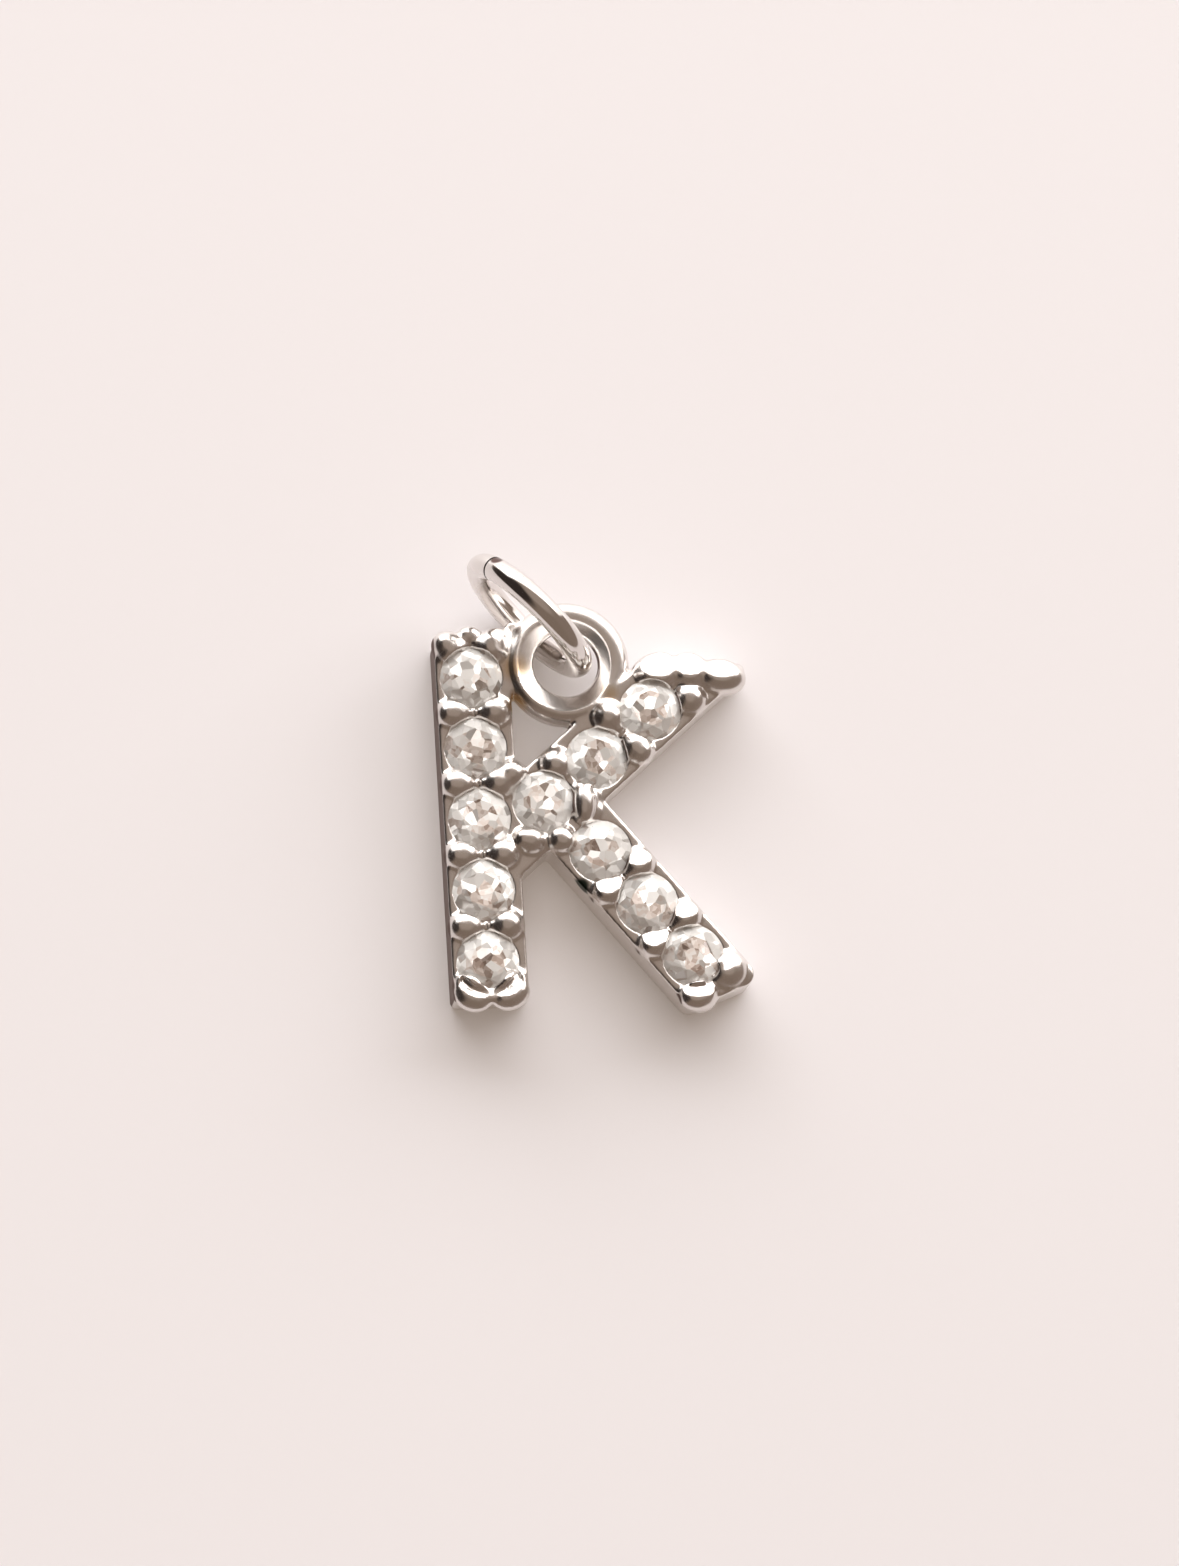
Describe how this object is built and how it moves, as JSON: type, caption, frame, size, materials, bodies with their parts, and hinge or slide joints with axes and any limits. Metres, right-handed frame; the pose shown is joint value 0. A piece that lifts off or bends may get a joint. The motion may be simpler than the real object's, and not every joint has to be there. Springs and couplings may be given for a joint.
{
  "type": "initial pendant",
  "caption": "Small cast letter K charm, pave set with round clear stones, with a soldered loop and a round-wire jump ring to hang it from a chain.",
  "frame": {"origin": "on the flat back of the letter, in the middle of the letter's width and height", "axes": "+Y up the letter's stem, +X to the right of a reader, +Z out of the face with the stones"},
  "size_m": [0.0075, 0.0112, 0.0039],
  "materials": {
    "cast_metal": "polished",
    "ring_metal": "polished",
    "clear_stone": "polished"
  },
  "bodies": {
    "root": {"letter": "cast_metal", "stone_stem_1": "clear_stone", "stone_stem_2": "clear_stone", "stone_stem_3": "clear_stone", "stone_stem_4": "clear_stone", "stone_stem_5": "clear_stone", "stone_junction": "clear_stone", "stone_arm_1": "clear_stone", "stone_arm_2": "clear_stone", "stone_leg_1": "clear_stone", "stone_leg_2": "clear_stone", "stone_leg_3": "clear_stone", "jump_ring": "ring_metal"}
  },
  "joints": []
}
